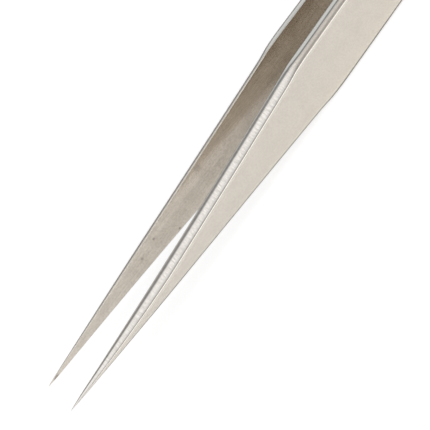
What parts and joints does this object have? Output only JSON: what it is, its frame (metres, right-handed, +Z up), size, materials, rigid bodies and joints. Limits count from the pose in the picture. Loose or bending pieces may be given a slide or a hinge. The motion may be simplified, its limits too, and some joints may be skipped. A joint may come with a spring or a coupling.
{
  "type": "precision tweezers",
  "caption": "Straight precision tweezers with fine tapered points: two ground satin steel leaves, welded at a flat tail, that spring open.",
  "frame": {"origin": "midway between the points and the end of the tail, on the middle plane between the leaves, on the surface that the lower edges of both leaves lie on", "axes": "+X from the points to the tail, +Y across the opening towards the right leaf, +Z up, along the width of the leaves"},
  "size_m": [0.14, 0.0104, 0.0096],
  "materials": {
    "leaf_steel": "satin, fine ground edges",
    "weld_steel": "fused spot weld"
  },
  "bodies": {
    "head": {"left_tail": "leaf_steel", "right_tail": "leaf_steel", "front_weld": "weld_steel", "rear_weld": "weld_steel"},
    "left_leaf": {"left_arm": "leaf_steel", "left_spring": "leaf_steel"},
    "right_leaf": {"right_arm": "leaf_steel", "right_spring": "leaf_steel"}
  },
  "joints": [
    {"name": "left_leaf_bend", "type": "hinge", "parent": "head", "child": "left_leaf", "pos_m": [0.0395, -0.00139, 0.0048], "axis": [0, 0, -1], "range_deg": [0, 1.95], "stiffness_Nm_per_rad": 2, "deforming": ["left_spring"]},
    {"name": "right_leaf_bend", "type": "hinge", "parent": "head", "child": "right_leaf", "pos_m": [0.0395, 0.00139, 0.0048], "axis": [0, 0, 1], "range_deg": [0, 1.95], "stiffness_Nm_per_rad": 2, "deforming": ["right_spring"]}
  ]
}
